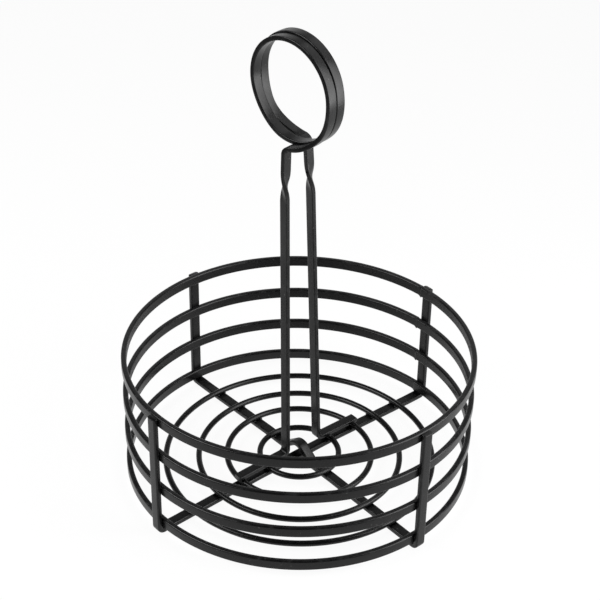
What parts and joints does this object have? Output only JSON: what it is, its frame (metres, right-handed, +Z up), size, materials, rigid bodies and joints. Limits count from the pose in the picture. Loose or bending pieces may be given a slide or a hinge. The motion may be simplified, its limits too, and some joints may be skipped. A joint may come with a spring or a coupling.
{
  "type": "condiment basket",
  "caption": "Round open table basket of flat steel hoops on crossed bent straps, with a floor of wire rings and a tall strip handle that ends in a coiled loop.",
  "frame": {"origin": "centre of the base on the table, on the axis of the hoops", "axes": "+Z up along the basket's axis, +Y along the strap that carries the handle's feet, +X along the strap that arches over it"},
  "size_m": [0.1952, 0.1952, 0.2576],
  "materials": {
    "powder_coat": "satin black powder coat"
  },
  "bodies": {
    "root": {"rim_hoop": "powder_coat", "upper_hoop": "powder_coat", "lower_hoop": "powder_coat", "base_hoop": "powder_coat", "front_back_strap": "powder_coat", "side_to_side_strap": "powder_coat", "base_ring_outer": "powder_coat", "base_ring_second": "powder_coat", "base_ring_third": "powder_coat", "base_ring_inner": "powder_coat", "handle": "powder_coat"}
  },
  "joints": []
}
